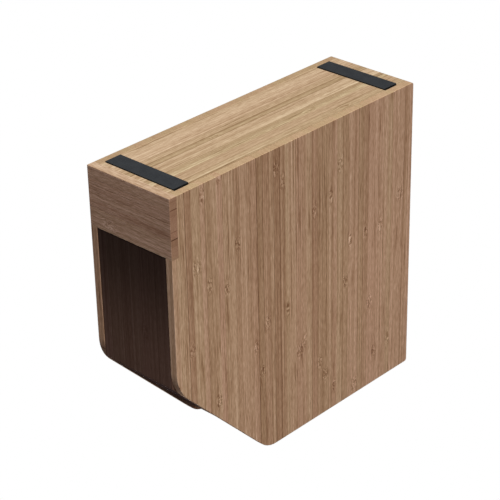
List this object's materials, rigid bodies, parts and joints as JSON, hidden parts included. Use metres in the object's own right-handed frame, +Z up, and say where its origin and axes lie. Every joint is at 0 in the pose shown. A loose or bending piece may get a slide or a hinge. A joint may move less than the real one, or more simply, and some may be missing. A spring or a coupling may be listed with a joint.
{
  "type": "knife block",
  "caption": "Slim upright bamboo knife block with a slanted dark slotted face, a sill across the foot of the front and rubber strip feet.",
  "frame": {"origin": "middle of the underside of the rubber feet, on the surface the block stands on", "axes": "+Z up, -Y towards the slanted front where the knives go in, +X to the right as seen from the front"},
  "size_m": [0.075, 0.24, 0.2297],
  "materials": {
    "bamboo": "clear satin lacquer over carbonised bamboo",
    "dark_wood": "dark brown stain, satin",
    "rubber": "matte black"
  },
  "bodies": {
    "root": {"side_panel_left": "bamboo", "side_panel_right": "bamboo", "front_sill": "bamboo", "base_board": "bamboo", "back_panel": "bamboo", "top_board": "bamboo", "front_panel": "dark_wood", "core_board_left": "dark_wood", "core_board_mid_left": "dark_wood", "core_board_mid_right": "dark_wood", "core_board_right": "dark_wood", "spacer_lower_left": "dark_wood", "spacer_middle_left": "dark_wood", "spacer_upper_left": "dark_wood", "spacer_lower_centre": "dark_wood", "spacer_middle_centre": "dark_wood", "spacer_upper_centre": "dark_wood", "spacer_lower_right": "dark_wood", "spacer_middle_right": "dark_wood", "spacer_upper_right": "dark_wood", "rubber_foot_front": "rubber", "rubber_foot_rear": "rubber"}
  },
  "joints": []
}
